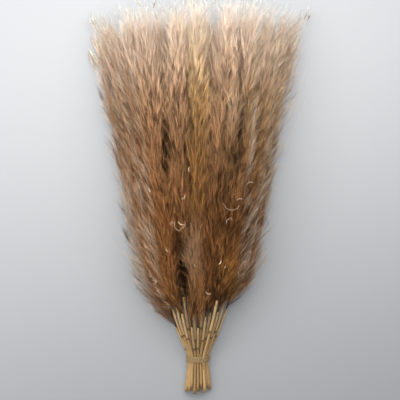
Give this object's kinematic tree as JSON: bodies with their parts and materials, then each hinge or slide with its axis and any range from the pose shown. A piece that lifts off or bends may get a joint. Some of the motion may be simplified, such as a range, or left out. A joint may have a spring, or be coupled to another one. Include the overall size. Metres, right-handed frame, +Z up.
{
  "type": "bundle of pampas grass",
  "caption": "Dried pampas grass stems tied into a bundle with twine, lying down: bare straw-like stalks fanning out into long feathery brown plumes with pale wispy tips.",
  "frame": {"origin": "on the surface that the bundle lies on, under the middle of the twine tie", "axes": "+Y along the bundle from the cut ends to the plume tips, +Z up from the surface, +X to the right when looking along +Y"},
  "size_m": [0.6261, 1.1459, 0.218],
  "materials": {
    "culm": "smooth dried straw, golden tan with darker joints",
    "plume": "matte feathery hair, brown at the base and pale beige at the tips",
    "tie": "rough jute twine"
  },
  "bodies": {
    "root": {"culm_01": "culm", "culm_02": "culm", "culm_03": "culm", "culm_04": "culm", "culm_05": "culm", "culm_06": "culm", "culm_07": "culm", "culm_08": "culm", "culm_09": "culm", "culm_10": "culm", "culm_11": "culm", "culm_12": "culm", "culm_13": "culm", "culm_14": "culm", "culm_15": "culm", "culm_16": "culm", "culm_17": "culm", "culm_18": "culm", "culm_19": "culm", "culm_20": "culm", "culm_21": "culm", "culm_22": "culm", "culm_23": "culm", "culm_24": "culm", "culm_25": "culm", "culm_26": "culm", "plume_01": "plume", "plume_02": "plume", "plume_03": "plume", "plume_04": "plume", "plume_05": "plume", "plume_06": "plume", "plume_07": "plume", "plume_08": "plume", "plume_09": "plume", "plume_10": "plume", "plume_11": "plume", "plume_12": "plume", "plume_13": "plume", "plume_14": "plume", "plume_15": "plume", "plume_16": "plume", "plume_17": "plume", "plume_18": "plume", "plume_19": "plume", "plume_20": "plume", "plume_21": "plume", "plume_22": "plume", "plume_23": "plume", "plume_24": "plume", "plume_25": "plume", "plume_26": "plume", "tie": "tie"}
  },
  "joints": []
}
